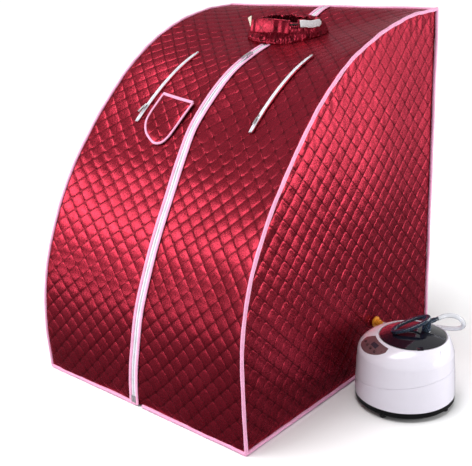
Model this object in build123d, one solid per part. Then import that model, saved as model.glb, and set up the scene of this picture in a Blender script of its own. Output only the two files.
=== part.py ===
"""Portable steam sauna: a quilted one-person tent on a rod frame, with a steam generator beside it.

Millimetres, +Z up. The origin is the centre of the tent's base on the floor, -Y is the zipped front
and +X is the side on which the steam generator stands.
"""
from build123d import *
from math import asin, atan2, cos, degrees, hypot, pi, radians, sin, tan
import os

# ---- tent: driving dimensions ----
TENT_WIDTH = 765.0
TENT_DEPTH = 872.0
TENT_HEIGHT = 980.0
HEM_RISE = 120.0                    # the front stands upright this far before it bows back
BOW_RADIUS = TENT_HEIGHT - HEM_RISE
QUILT = 6.0                         # satin, padding and lining, stitched together
GAP = 0.3                           # least room between two pieces
PIPING_R = 4.2
EDGE = 2 * PIPING_R + 3 * GAP       # from the tent's outer face to the panels inside the piping
COVER_HALF = TENT_WIDTH / 2 - EDGE
# how far the front cover hangs inside the two bows along the zip: (share of the arc, sag)
SAG = ((0, 0), (0.08, 8), (0.16, 20), (0.27, 36), (0.4, 44), (0.53, 36), (0.62, 32), (0.7, 33),
       (0.79, 42), (0.86, 48), (0.92, 44), (0.97, 24), (1, 0))

# ---- zips, door flaps, neck ----
COIL_HALF = 2.4
TAPE_HALF = 8.0
BINDING_HALF = 17.0                 # half the width of the main zip with its pink binding
DOOR_TOP = 0.485                    # share of the arc where the two flaps meet at the zip
DOOR_FOOT = 352.0                   # how far out the flaps reach along the hem
DOOR_SEAM = 4.0                     # half of the gap left along a flap's edge
NECK_Y = 235.0
NECK_A, NECK_B = 116.0, 63.0        # half axes of the neck opening
COLLAR_WALL = 25.0
COLLAR_FOOT, COLLAR_TOP = 885.0, 960.0
STRAP_TURN = -30.0                   # where the strap is on the collar, from the tent's right
STRAP_LENGTH = 64.0
ARM_ZIPS = {"left": (-189.0, -231.0), "right": (222.0, 192.0)}   # x of the top and bottom ends
ARM_TOP_Y, ARM_BOTTOM_Y = 65.0, -156.0
ARM_SLIDER_Y = -126.0
MAIN_SLIDER_Y = 78.0
SLIDER_LIFT = 1.7                   # room between a slider and the cover under it

# ---- frame of rods ----
TUBE_R, TUBE_BORE = 6.0, 5.0
BOW_ROD_R = 4.0
ROD_INSET = 18.0
CORE = 8.5                          # half the side of a corner connector's block
SOCKET = 18.0
MAT = 3.0
POST_X = TENT_WIDTH / 2 - 19.5
REAR_Y = TENT_DEPTH / 2 - 17.5
FRONT_Y = -TENT_DEPTH / 2 + ROD_INSET
FLOOR_Z = MAT + CORE + GAP
TOP_Z = TENT_HEIGHT - ROD_INSET

# ---- steam generator ----
POT_X, POT_Y = 537.0, 35.0
POT_BASE_R = 131.6
LID_DX, LID_DY = 16.0, 8.0          # the lid sits off centre, away from the control panel
LID_X, LID_Y = POT_X + LID_DX, POT_Y + LID_DY
BASE_Z, HOUSING_Z, SHOULDER_Z, RIM_Z = 9.0, 28.0, 145.0, 187.0
WALL = 3.0
RIM_R, MOUTH_R, LID_R = 91.0, 88.0, 85.0
TANK_R, TANK_FLOOR, TANK_TOP = 76.5, 60.0, 183.5
DOME = 19.0
PANEL_ANGLE, PANEL_IN = 238.0, 97.0
# the panel's outline in plan: its two inner corners, and its rounded outer edge between them
PANEL_CORNERS = ((477.5, -17), (540, -56))
PANEL_RIM = ((452, -18), (446, -37), (455, -51), (474, -66.5), (502, -76.5), (530, -74), (539, -68))
BUTTON_R, BUTTON_TRAVEL = 3.6, 1.0
BUTTON_RING = 122.0
BUTTONS = {"power_button": -17, "time_button": -8, "temperature_button": 1, "timer_button": 10}
OUTLET = (584.0, 57.0, 225.0)       # boss on the handle where the steam leaves
HANDLE = (553.0, 30.0, 223.0)
HANDLE_TURN, HANDLE_TILT = 42.0, 21.0

# ---- steam inlet on the tent and the hose between the two ----
INLET_Y, INLET_Z = 134.0, 142.0
SPIGOT_R, SPIGOT_END = 5.6, 408.0
HOSE_R, HOSE_BORE = 6.0, 4.5
HOSE_ROUTE = ((597, 93, 228), (606, 117.9, 230.1), (624, 136.5, 226.4), (636, 155, 209), (633, 172, 185.6),
              (613.5, 184, 167.4), (579, 188, 156), (538, 191, 149), (499, 181, 145), (467, 154, 146),
              (435, INLET_Y, INLET_Z), (SPIGOT_END, INLET_Y, INLET_Z))

BOW_LENGTH = HEM_RISE + BOW_RADIUS * pi / 2 + (TENT_DEPTH - BOW_RADIUS)


def save(name, *solids):
    """Write one node; several solids stay separate inside it."""
    found = [piece for shape in solids for piece in shape.solids()]
    export_step(found[0] if len(found) == 1 else Compound(children=found), f"parts/{name}.step")


def cylinder(start, end, radius):
    """A round bar between two points."""
    a, b = Vector(*start), Vector(*end)
    return extrude(Plane(origin=a, z_dir=b - a) * Circle(radius), (b - a).length)


def tube(start, end, radius, bore):
    return cylinder(start, end, radius) - cylinder(start, end, bore)


def block(x, y, z):
    """A box between two limits on each axis."""
    middle = [(lo + hi) / 2 for lo, hi in (x, y, z)]
    return Pos(*middle) * Box(x[1] - x[0], y[1] - y[0], z[1] - z[0])


# ---------------------------------------------------------------- the bowed front cover
def bow_point(share, inset):
    """Point (y, z) and outward normal on the side outline, moved in by inset."""
    s = share * BOW_LENGTH
    if s <= HEM_RISE:
        return -TENT_DEPTH / 2 + inset, s, -1.0, 0.0
    turn = (s - HEM_RISE) / BOW_RADIUS
    if turn < pi / 2:
        y = -TENT_DEPTH / 2 + BOW_RADIUS - (BOW_RADIUS - inset) * cos(turn)
        return y, HEM_RISE + (BOW_RADIUS - inset) * sin(turn), -cos(turn), sin(turn)
    return -TENT_DEPTH / 2 + BOW_RADIUS + s - HEM_RISE - BOW_RADIUS * pi / 2, TENT_HEIGHT - inset, 0.0, 1.0


def cover_section(x, inset, sagging):
    """The cover's line in the plane at x, as a smooth curve from hem to rear edge."""
    points = []
    for share, sag in SAG:
        y, z, ny, nz = bow_point(share, inset)
        points.append(Vector(x, y - sagging * sag * ny, z - sagging * sag * nz))
    return Spline(points, tangents=[(0, 0, 1), (0, 1, 0)])


def cover_sheet(outer, inner):
    """The whole cover between two insets from the outline, slack in the middle."""
    sections = []
    for x, sagging in ((-COVER_HALF, 0), (0, 1), (COVER_HALF, 0)):
        top = cover_section(x, outer, sagging)
        under = cover_section(x, inner, sagging)
        ring = [top.edge(), Line(top @ 1, under @ 1).edge(), under.edge(), Line(under @ 0, top @ 0).edge()]
        sections.append(Face(Wire(ring)))
    trimmed = block((-400, 400), (-450, TENT_DEPTH / 2 - EDGE), (EDGE, TENT_HEIGHT + 100))
    return loft(sections) & trimmed


def on_cover(x, y):
    """The cover's outer surface above (x, y), as a plane with its normal outwards and its y uphill."""
    hits = COVER.find_intersection_points(Axis((x, y, 1200), (0, 0, -1)))
    point, normal = max(hits, key=lambda hit: hit[0].Z)
    normal = normal if normal.Z > 0 else -normal
    across = Vector(0, 1, 0).cross(normal) if abs(normal.Y) < 0.99 else Vector(1, 0, 0)
    return Plane(origin=point, x_dir=across, z_dir=normal)


def strip(inner_x, outer_x, side):
    """A slab of space beside the main zip, on one side of it."""
    low, high = sorted((side * inner_x, side * outer_x))
    return block((low, high), (-500, 500), (-50, 1100))


def door_prism(side, grow):
    """Space of one door flap: a triangle from the zip down to the tent's front corner."""
    y, z, ny, nz = bow_point(DOOR_TOP, 40)
    lean = bow_point(DOOR_TOP / 2, 0)
    front = -TENT_DEPTH / 2
    tip, foot = Vector(0, y, z), Vector(side * DOOR_FOOT, front, -30)
    past_tip = tip + (tip - foot) * 0.2
    triangle = Face(Wire.make_polygon([past_tip, foot, Vector(past_tip.X, front, -30)], close=True))
    triangle = offset(triangle, grow, kind=Kind.INTERSECTION)
    reach = Vector(0, lean[2], lean[3])
    plug = extrude(triangle, 260, dir=reach) + extrude(triangle, 260, dir=-reach)
    return plug & block((-400, 400), (-600, 600), (-20, 900)) & strip(0, 500, side)


def neck_prism(grow):
    return Pos(0, NECK_Y, 700) * extrude(Ellipse(NECK_A + grow, NECK_B + grow), 400)


def arm_frame(side):
    """Middle, length and heading in plan of an arm zip."""
    top_x, bottom_x = ARM_ZIPS[side]
    length = hypot(top_x - bottom_x, ARM_TOP_Y - ARM_BOTTOM_Y)
    heading = degrees(atan2(bottom_x - top_x, ARM_TOP_Y - ARM_BOTTOM_Y))
    return (top_x + bottom_x) / 2, (ARM_TOP_Y + ARM_BOTTOM_Y) / 2, length, heading


def arm_prism(side, half_width, trim, shift=0.0):
    """Space over an arm zip, seen from above."""
    x, y, length, heading = arm_frame(side)
    outline = Pos(x, y, 500) * Rot(0, 0, heading) * Pos(shift, 0, 0) * Rectangle(2 * half_width, length - 2 * trim)
    return extrude(outline, 600)


def make_cover_parts():
    """Cover halves, door flaps, zips and their bindings."""
    tape = cover_sheet(1.5, 3.1)
    coil = cover_sheet(0.3, 3.9)
    binding = cover_sheet(-1.0, 7.5)
    hem_y = -TENT_DEPTH / 2 + PIPING_R + GAP
    collar_zone = neck_prism(COLLAR_WALL + 1)
    fixed_zip, fixed_binding, arm_zips = [], [], []
    for name, side in (("left", -1), ("right", 1)):
        door = door_prism(side, -DOOR_SEAM)
        around_door = door_prism(side, DOOR_SEAM)
        half = COVER & strip(BINDING_HALF + GAP, 500, side)
        save(f"door_{name}", half & door)
        half = half - around_door - neck_prism(0) - arm_prism(name, 4.6, -1)
        save(f"cover_{name}", half)
        tape_side = tape & strip(COIL_HALF + GAP, TAPE_HALF, side)
        coil_side = coil & strip(0.2, COIL_HALF, side)
        binding_side = binding & strip(TAPE_HALF + GAP, BINDING_HALF, side)
        save(f"door_zip_{name}", tape_side & door, coil_side & door)
        hem = cylinder((side * 18, hem_y, 5), (side * (DOOR_FOOT - 16), hem_y, 5), PIPING_R)
        save(f"door_binding_{name}", binding_side & door, hem)
        for piece in (tape_side, coil_side):
            fixed_zip += (piece - around_door - collar_zone).solids()
        fixed_binding += (binding_side - around_door - collar_zone).solids()
        tapes = cover_sheet(1.0, 3.0)
        for shift in (-2.65, 2.65):
            arm_zips += (tapes & arm_prism(name, 1.45, 0, shift)).solids()
        arm_zips += (cover_sheet(-0.2, 3.6) & arm_prism(name, 0.9, 0)).solids()
    save("zips_fixed", *fixed_zip)
    save("zip_bindings_fixed", *fixed_binding)
    save("arm_zips", *arm_zips)


def make_slider(name, x, y, heading, scale):
    """A zip slider on the cover, and its pull tab lying downhill of it."""
    seat = on_cover(x, y)
    frame = seat * Pos(0, 0, SLIDER_LIFT) * Rot(0, 0, heading)
    body = frame * Pos(0, 0, 3 * scale) * Box(11 * scale, 24 * scale, 6 * scale)
    body = fillet(body.edges(), 1.6 * scale)
    lug = frame * Pos(0, 2 * scale, 7 * scale) * Box(3 * scale, 9 * scale, 3 * scale)
    pivot = frame * Pos(0, -5 * scale, 8 * scale)
    tab = pivot * Pos(0, -14 * scale, 0) * Box(8 * scale, 30 * scale, 1.8 * scale)
    tab = fillet(tab.edges().filter_by(lambda e: e.length < 3), 0.8 * scale)
    tab = tab - pivot * Pos(0, -24 * scale, 0) * Box(3.4 * scale, 7 * scale, 5)
    print(name, "seat", seat.origin, "normal", seat.z_dir, "pull pivot", pivot.position)
    return body + lug, tab


def make_sliders():
    body, tab = make_slider("main", 0, MAIN_SLIDER_Y, 0, 1.0)
    save("main_zip_slider", body)
    save("main_zip_pull", tab)
    for side in ("left", "right"):
        x, y, _, heading = arm_frame(side)
        along = (ARM_SLIDER_Y - y) / cos(radians(heading))
        body, tab = make_slider(f"arm {side}", x - along * sin(radians(heading)), ARM_SLIDER_Y, heading, 0.7)
        save(f"arm_zip_slider_{side}", body, tab)


def make_pocket():
    """A patch pocket left of the zip, open at the top, with a bound edge."""
    frame = on_cover(-129, -132)
    outline = Rectangle(128, 142)
    outline = fillet(outline.vertices().group_by(Axis.Y)[0], 52)
    prism = frame * extrude(outline, 25, both=True)
    mouth = frame * Pos(0, 8, 0) * extrude(offset(outline, -1.8), 25, both=True)
    cavity = frame * extrude(offset(outline, -1.8), 25, both=True) + mouth
    pouch = (cover_sheet(-9.5, 0.2) & prism) - (cover_sheet(-7.9, 0.4) & cavity)
    save("pocket", pouch.solids().sort_by(SortBy.VOLUME)[-1])
    rim = prism - frame * extrude(offset(outline, -7), 25, both=True)
    save("pocket_binding", cover_sheet(-11, -9.6) & rim)


def make_collar():
    """A gathered, level-topped ring around the neck opening, its drawcord, and the strap that closes it."""
    half_x, half_y = NECK_A + COLLAR_WALL, NECK_B + COLLAR_WALL
    outer = Pos(0, NECK_Y, COLLAR_FOOT) * extrude(Ellipse(half_x, half_y), COLLAR_TOP - COLLAR_FOOT)
    inner = Pos(0, NECK_Y, 800) * extrude(Ellipse(NECK_A, NECK_B), 300)
    ring = outer - inner - cover_sheet(-1.4, 70)
    save("neck_collar", ring.solids().sort_by(SortBy.VOLUME)[-1])
    path = (Pos(0, NECK_Y, COLLAR_TOP - 12) * Ellipse(NECK_A - 2.8, NECK_B - 2.8)).edge()
    save("neck_drawcord", sweep(Plane(origin=path @ 0, z_dir=path % 0) * Circle(2.2), path=path))
    turn = radians(STRAP_TURN)
    outward = Vector(half_y * cos(turn), half_x * sin(turn), 0).normalized()
    middle = Vector(half_x * cos(turn), NECK_Y + half_y * sin(turn), COLLAR_TOP - 8)
    strap = Plane(origin=middle + outward * GAP, x_dir=(-outward.Y, outward.X, 0), z_dir=outward)
    save("collar_strap", strap * Pos(0, 0, 1) * Box(STRAP_LENGTH, 24, 2))
    save("hook_patch", strap * Pos(2, 0, 2.7) * Box(STRAP_LENGTH - 6, 21, 1.4))
    print("strap hinge", (strap * Pos(-STRAP_LENGTH / 2, 0, 1)).position)


# ---------------------------------------------------------------- flat walls and edges
def outline_face(inset):
    """The tent's side outline moved in by inset, in the YZ plane."""
    front, rear = -TENT_DEPTH / 2 + inset, TENT_DEPTH / 2 - inset
    upright = Line((front, inset), (front, HEM_RISE))
    bow = JernArc(start=(front, HEM_RISE), tangent=(0, 1), radius=BOW_RADIUS - inset, arc_size=-90)
    rest = Polyline(bow @ 1, (rear, TENT_HEIGHT - inset), (rear, inset), (front, inset))
    return make_face(upright + bow + rest)


def make_walls():
    for name, side in (("left", -1), ("right", 1)):
        inner = TENT_WIDTH / 2 - 1 - QUILT
        wall = extrude(Plane.YZ.offset(inner) * outline_face(EDGE), QUILT)
        if side < 0:
            wall = mirror(wall, about=Plane.YZ)
        else:
            wall = wall - cylinder((300, INLET_Y, INLET_Z), (450, INLET_Y, INLET_Z), 9)
        save(f"side_wall_{name}", wall)
    back = TENT_DEPTH / 2 - 1
    save("rear_panel", block((-COVER_HALF, COVER_HALF), (back - QUILT, back), (EDGE, TENT_HEIGHT - EDGE)))
    edge = 12.0
    save("floor_mat", block((-TENT_WIDTH / 2 + edge, TENT_WIDTH / 2 - edge),
                            (-TENT_DEPTH / 2 + edge, TENT_DEPTH / 2 - edge), (0, MAT)))


def bow_path(inset, start_z, end_y, x):
    """Upright, quarter arc and short flat of a rod or piping that follows the side outline."""
    front = -TENT_DEPTH / 2 + inset
    upright = Line((front, start_z), (front, HEM_RISE))
    bow = JernArc(start=(front, HEM_RISE), tangent=(0, 1), radius=BOW_RADIUS - inset, arc_size=-90)
    line = upright + bow
    if end_y > (bow @ 1).X:
        line = line + Line(bow @ 1, (end_y, (bow @ 1).Y))
    return Plane.YZ.offset(x) * line


def sweep_round(path, radius, bore=0.0):
    profile = Plane(origin=path @ 0, z_dir=path % 0)
    bar = sweep(profile * Circle(radius), path=path)
    return bar - sweep(profile * Circle(bore), path=path) if bore else bar


def make_piping():
    middle = PIPING_R + GAP
    x, rear, top = TENT_WIDTH / 2 - middle, TENT_DEPTH / 2 - middle, TENT_HEIGHT - middle
    front = -TENT_DEPTH / 2 + middle
    for name, side in (("left", -1), ("right", 1)):
        save(f"side_piping_{name}", sweep_round(bow_path(middle, EDGE, TENT_DEPTH / 2 - EDGE, side * x), PIPING_R))
    bars = [cylinder((-x - PIPING_R, rear, top), (x + PIPING_R, rear, top), PIPING_R)]
    bars.append(cylinder((-COVER_HALF, rear, middle), (COVER_HALF, rear, middle), PIPING_R))
    for side in (-1, 1):
        bars.append(cylinder((side * x, rear, EDGE), (side * x, rear, TENT_HEIGHT - EDGE), PIPING_R))
        bars.append(cylinder((side * x, -rear, middle), (side * x, rear, middle), PIPING_R))
        bars.append(cylinder((side * (DOOR_FOOT - 8), front, middle), (side * COVER_HALF, front, middle), PIPING_R))
    save("edge_piping", *bars)


# ---------------------------------------------------------------- frame of rods
def connector(corner, sockets):
    """A moulded corner block with a socket for each rod."""
    shape = Pos(*corner) * Box(2 * CORE, 2 * CORE, 2 * CORE)
    for direction, bore in sockets:
        start = Vector(*corner) + Vector(*direction) * CORE
        end = start + Vector(*direction) * SOCKET
        shape = shape + cylinder(start, end, bore + 1.5)
        shape = shape - cylinder(start, end, bore)
    return shape


def make_frame():
    bore, bow_bore = TUBE_R + 0.15, BOW_ROD_R + 0.9
    reach = CORE + 0.5
    blocks = []
    for side in (-1, 1):
        x = side * POST_X
        blocks.append(connector((x, FRONT_Y, FLOOR_Z),
                                (((-side, 0, 0), bore), ((0, 1, 0), bore), ((0, 0, 1), bow_bore))))
        blocks.append(connector((x, REAR_Y, FLOOR_Z),
                                (((-side, 0, 0), bore), ((0, -1, 0), bore), ((0, 0, 1), bore))))
        blocks.append(connector((x, REAR_Y, TOP_Z),
                                (((-side, 0, 0), bore), ((0, -1, 0), bow_bore), ((0, 0, -1), bore))))
    save("corner_connectors", *blocks)
    span = POST_X - reach
    bars = {
        "floor_tube_front": ((-span, FRONT_Y, FLOOR_Z), (span, FRONT_Y, FLOOR_Z)),
        "floor_tube_rear": ((-span, REAR_Y, FLOOR_Z), (span, REAR_Y, FLOOR_Z)),
        "top_tube_rear": ((-span, REAR_Y, TOP_Z), (span, REAR_Y, TOP_Z)),
    }
    for name, side in (("left", -1), ("right", 1)):
        x = side * POST_X
        bars[f"floor_tube_{name}"] = ((x, FRONT_Y + reach, FLOOR_Z), (x, REAR_Y - reach, FLOOR_Z))
        bars[f"rear_post_{name}"] = ((x, REAR_Y, FLOOR_Z + reach), (x, REAR_Y, TOP_Z - reach))
        save(f"bow_rod_{name}", sweep_round(bow_path(ROD_INSET, FLOOR_Z + reach, 0, x)
                                            , BOW_ROD_R) & block((-400, 400), (-500, REAR_Y - reach), (0, 1000)))
    for name, (start, end) in bars.items():
        save(name, tube(start, end, TUBE_R, TUBE_BORE))
    centre = (-TENT_DEPTH / 2 + BOW_RADIUS, HEM_RISE)
    sleeves = []
    for side in (-1, 1):
        for turn in (30.0, 60.0):
            arc = CenterArc(centre, BOW_RADIUS - ROD_INSET, 180 - turn - 1.6, 3.2)
            path = Plane.YZ.offset(side * POST_X) * arc
            sleeves.append(sweep_round(path, BOW_ROD_R + 1.6, BOW_ROD_R + GAP))
    save("bow_ferrules", *sleeves)


# ---------------------------------------------------------------- steam inlet and hose
def make_inlet():
    x, y, z = TENT_WIDTH / 2 - 1 + 0.1, INLET_Y, INLET_Z
    fitting = cylinder((x, y, z), (x + 4, y, z), 16) + cylinder((x + 4, y, z), (x + 14, y, z), 10)
    fitting = fitting + cylinder((x, y, z), (SPIGOT_END, y, z), SPIGOT_R) + cylinder((x - 15, y, z), (x, y, z), 8.6)
    for step in range(3):
        start = x + 14 + 4 * step
        fitting = fitting + cylinder((start, y, z), (start + 2, y, z), SPIGOT_R + 1)
    save("inlet_fitting", fitting - cylinder((x - 30, y, z), (SPIGOT_END + 1, y, z), HOSE_BORE - 0.5))
    inner = TENT_WIDTH / 2 - 1 - QUILT - 0.2
    nut = extrude(Plane.YZ.offset(inner - 6) * Pos(y, z) * RegularPolygon(15, 6), 6)
    save("inlet_nut", nut - cylinder((inner - 7, y, z), (inner + 1, y, z), 8.9))


def route_radii(points):
    """Corner radii as large as the runs beside each corner allow."""
    radii = []
    for before, corner, after in zip(points, points[1:], points[2:]):
        first, second = corner - before, after - corner
        turn = radians(first.get_angle(second))
        radii.append(0.45 * min(first.length, second.length) / tan(turn / 2))
    return radii


def make_hose():
    points = [Vector(*p) for p in HOSE_ROUTE]
    radii = route_radii(points)
    path = FilletPolyline(*points, radius=radii)
    solid = sweep_round(path, HOSE_R, HOSE_BORE)
    area = pi * (HOSE_R ** 2 - HOSE_BORE ** 2)
    print("hose radii", [round(r) for r in radii], "length", round(path.length),
          "volume over section times length", round(solid.volume / (area * path.length), 4))
    save("steam_hose", solid)


# ---------------------------------------------------------------- steam generator
def pot_solid(grow):
    """The generator's outer form: a tapered drum whose shoulder runs up to the off-centre lid."""
    lower = ((HOUSING_Z, POT_BASE_R, 0), (88, 129.5, 0), (SHOULDER_Z, 125.5, 0))
    upper = ((SHOULDER_Z, 125.5, 0), (163, 119, 0.1), (178, 106, 0.5), (RIM_Z, RIM_R, 1))
    bodies = []
    for rings in (lower, upper):
        sections = []
        for z, radius, shift in rings:
            lift = grow if z == RIM_Z else 0
            drop = grow if z == HOUSING_Z and grow < 0 else 0
            sections.append(Pos(POT_X + shift * LID_DX, POT_Y + shift * LID_DY, z + lift + drop) * Circle(radius + grow))
        bodies.append(loft(sections))
    return bodies[0] + bodies[1]


def lid_disc(radius, low, high):
    return cylinder((LID_X, LID_Y, low), (LID_X, LID_Y, high), radius)


def panel_column(low, high):
    """The space over the control panel."""
    first, last = (Vector(x, y, low) for x, y in PANEL_CORNERS)
    angle = radians(PANEL_ANGLE)
    middle = Vector(LID_X + PANEL_IN * cos(angle), LID_Y + PANEL_IN * sin(angle), low)
    rim = [Vector(x, y, low) for x, y in PANEL_RIM]
    edges = [ThreePointArc(last, middle, first), Line(first, rim[0]), Spline(*rim), Line(rim[-1], last)]
    return extrude(make_face(Wire(edges)), high - low, dir=(0, 0, 1))


def shoulder_frame(radius, turn):
    """Plane on the generator's shoulder, at a distance and turn about the lid."""
    angle = radians(PANEL_ANGLE + turn)
    x, y = LID_X + radius * cos(angle), LID_Y + radius * sin(angle)
    hits = POT.find_intersection_points(Axis((x, y, 400), (0, 0, -1)))
    point, normal = max(hits, key=lambda hit: hit[0].Z)
    normal = normal if normal.Z > 0 else -normal
    across = Vector(-sin(angle), cos(angle), 0)
    return Plane(origin=point, x_dir=across, z_dir=normal)


def make_pot():
    feet, screws, bosses = [], [], []
    floor = 3.0
    tray = cylinder((POT_X, POT_Y, BASE_Z), (POT_X, POT_Y, HOUSING_Z - GAP), POT_BASE_R - 0.6)
    tray = chamfer(tray.edges().group_by(Axis.Z)[0], 6)
    tray = tray - cylinder((POT_X, POT_Y, BASE_Z + floor), (POT_X, POT_Y, 60), POT_BASE_R - 8)
    housing = POT - pot_solid(-WALL)
    housing = housing - lid_disc(MOUTH_R, 160, 220)
    parting = Pos(POT_X, POT_Y, 90) * Rot(1.4, -9.5, 0) * Cylinder(200, 1.4)
    housing = housing - (parting & (pot_solid(1) - pot_solid(-0.9)))
    for turn in (3, 93, 183, 273):
        angle = radians(turn)
        x, y = POT_X + 116 * cos(angle), POT_Y + 116 * sin(angle)
        foot = cylinder((x, y, 0), (x, y, BASE_Z), 9.5)
        feet.append(fillet(foot.edges().group_by(Axis.Z)[0], 3))
        x, y = POT_X + 112 * cos(angle + 0.7), POT_Y + 112 * sin(angle + 0.7)
        seat = BASE_Z + floor + GAP
        bosses.append(tube((x, y, seat), (x, y, 60), 4.5, 1.7))
        bosses[-1] = bosses[-1] + (cylinder((x, y, 40), (x, y, 60), 9) - cylinder((x, y, 30), (x, y, 70), 4.4) & POT)
        tray = tray - cylinder((x, y, BASE_Z - 1), (x, y, 30), 1.8) - cylinder((x, y, BASE_Z - 1), (x, y, BASE_Z + 1.8), 3.4)
        screws.append(cylinder((x, y, BASE_Z + 0.1), (x, y, BASE_Z + 1.6), 3.1)
                      + cylinder((x, y, BASE_Z + 1.6), (x, y, BASE_Z + 14), 1.5))
    for boss in bosses:
        housing = housing + boss
    back = POT_Y + 129
    housing = housing - block((POT_X - 16, POT_X + 16), (back - 20, back + 10), (52, 78))
    for turn in range(5):
        angle = radians(-17 + 4.6 * turn)
        x, y = LID_X + 101 * cos(angle), LID_Y + 101 * sin(angle)
        housing = housing - Pos(x, y, 174) * Rot(0, 0, degrees(angle)) * Rot(-25, 0, 0) * Box(18, 2.2, 13)
    for name, turn in BUTTONS.items():
        frame = shoulder_frame(BUTTON_RING, turn)
        housing = housing - frame * Pos(0, 0, -8) * extrude(Circle(BUTTON_R + 0.4), 20)
    save("steamer_housing", housing.solids().sort_by(SortBy.VOLUME)[-1])
    save("steamer_base", tray)
    save("steamer_feet", *feet)
    save("base_screws", *screws)
    inlet = block((POT_X - 15.6, POT_X + 15.6), (back - 22, back + 2.2), (52.4, 77.6))
    inlet = inlet + block((POT_X - 19, POT_X + 19), (back + 2.2, back + 4.6), (49, 81))
    inlet = inlet - block((POT_X - 12, POT_X + 12), (back - 14, back + 6), (57, 73))
    for pin in (-7, 0, 7):
        inlet = inlet + block((POT_X + pin - 1, POT_X + pin + 1), (back - 15, back - 3), (63, 67))
    save("power_inlet", inlet)


def make_pot_inside():
    tank = lid_disc(TANK_R, TANK_FLOOR, TANK_TOP) - lid_disc(TANK_R - 1.5, TANK_FLOOR + 1.5, 300)
    tank = tank + lid_disc(MOUTH_R - 1, TANK_TOP, TANK_TOP + 1.5) - lid_disc(TANK_R - 1.5, 150, 300)
    save("water_tank", tank)
    save("heater", lid_disc(52, TANK_FLOOR - 9, TANK_FLOOR - GAP) - lid_disc(18, 0, 100))
    angle = radians(PANEL_ANGLE)
    board = Pos(LID_X + 105 * cos(angle), LID_Y + 105 * sin(angle), 110) * Rot(0, 0, PANEL_ANGLE) * Box(1.6, 52, 60)
    save("control_board", board)


def make_panel():
    skin = pot_solid(1.0) - pot_solid(0.1)
    panel = skin & panel_column(140, 200)
    for turn in BUTTONS.values():
        panel = panel - shoulder_frame(BUTTON_RING, turn) * Pos(0, 0, -8) * extrude(Circle(BUTTON_R + 0.4), 20)
    save("control_panel", panel)
    glass = shoulder_frame(110.5, 1.5)
    save("display_window", (pot_solid(1.8) - pot_solid(1.15)) & (glass * Box(26, 12.5, 12)))
    for name, turn in BUTTONS.items():
        frame = shoulder_frame(BUTTON_RING, turn)
        cap = frame * Pos(0, 0, -3) * extrude(Circle(BUTTON_R), 5.6)
        rims = cap.edges().filter_by(GeomType.CIRCLE)
        save(name, fillet(rims.sort_by_distance(frame.origin + frame.z_dir * 3)[0], 0.7))
        print(name, "at", frame.origin, "normal", frame.z_dir)


def make_lid():
    """The smoked dome with its seal, ring handle and steam outlet."""
    rise = (LID_R ** 2 + DOME ** 2) / (2 * DOME)
    seat = RIM_Z + 0.4
    ball = Pos(LID_X, LID_Y, seat + DOME - rise) * Sphere(rise)
    hollow = Pos(LID_X, LID_Y, seat + DOME - rise) * Sphere(rise - 2.5)
    dome = (ball - hollow) & lid_disc(LID_R, seat, 300)
    skirt = lid_disc(70, 176, seat + 6) - lid_disc(67.5, 170, 300)
    dome = dome + (skirt & Pos(LID_X, LID_Y, seat + DOME - rise) * Sphere(rise - 1))
    toward = radians(-48)
    tab = Pos(LID_X + 84 * cos(toward), LID_Y + 84 * sin(toward), seat + 2) * Rot(0, 0, -48) * Box(12, 15, 4)
    dome = dome + tab
    bore = cylinder((OUTLET[0], OUTLET[1], 150), (OUTLET[0], OUTLET[1], OUTLET[2]), 4)
    save("steam_lid", dome - bore)
    save("lid_seal", lid_disc(73.5, 178, 182.5) - lid_disc(70.2, 170, 190))
    shell = Pos(LID_X, LID_Y, seat + DOME - rise) * Sphere(rise + GAP)
    ring = Pos(HANDLE[0], HANDLE[1], HANDLE[2]) * Rot(0, 0, HANDLE_TURN) * Rot(0, -HANDLE_TILT, 0)
    grip = ring * extrude(Ellipse(54, 27) - Ellipse(43, 16), 4.2, both=True)
    grip = fillet(grip.edges(), 2)
    boss = cylinder((OUTLET[0], OUTLET[1], 190), (OUTLET[0], OUTLET[1], OUTLET[2] + 12), 11.5)
    heel = ring * Pos(-46, 0, 0) * extrude(Circle(6.5), -25)
    handle = (grip + boss + heel) - shell
    direction = Vector(*HOSE_ROUTE[0]) - Vector(OUTLET[0], OUTLET[1], OUTLET[2])
    tip = Vector(*HOSE_ROUTE[0])
    root = Vector(*OUTLET) + direction.normalized() * 6
    handle = handle - cylinder(root, tip, 5.2) - bore
    save("lid_handle", handle.solids().sort_by(SortBy.VOLUME)[-1])
    barb = cylinder(root + direction.normalized() * GAP, tip - direction.normalized() * GAP, 5.0)
    for step in (14, 19, 24):
        start = Vector(*OUTLET) + direction.normalized() * step
        barb = barb + cylinder(start, start + direction.normalized() * 2.5, 6.2)
    save("outlet_barb", barb - cylinder(Vector(*OUTLET), tip + direction, 3.2))


os.makedirs("parts", exist_ok=True)
COVER = cover_sheet(0.5, 0.5 + QUILT)
POT = pot_solid(0)
make_cover_parts()
make_sliders()
make_pocket()
make_collar()
make_walls()
make_piping()
make_frame()
make_inlet()
make_hose()
make_pot()
make_pot_inside()
make_panel()
make_lid()
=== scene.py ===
"""Portable steam sauna: the visual model, its materials, the camera and the light. Metres, +Z up."""
import math
import bmesh
import bpy
import numpy as np
from mathutils import Matrix, Vector, noise


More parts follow.
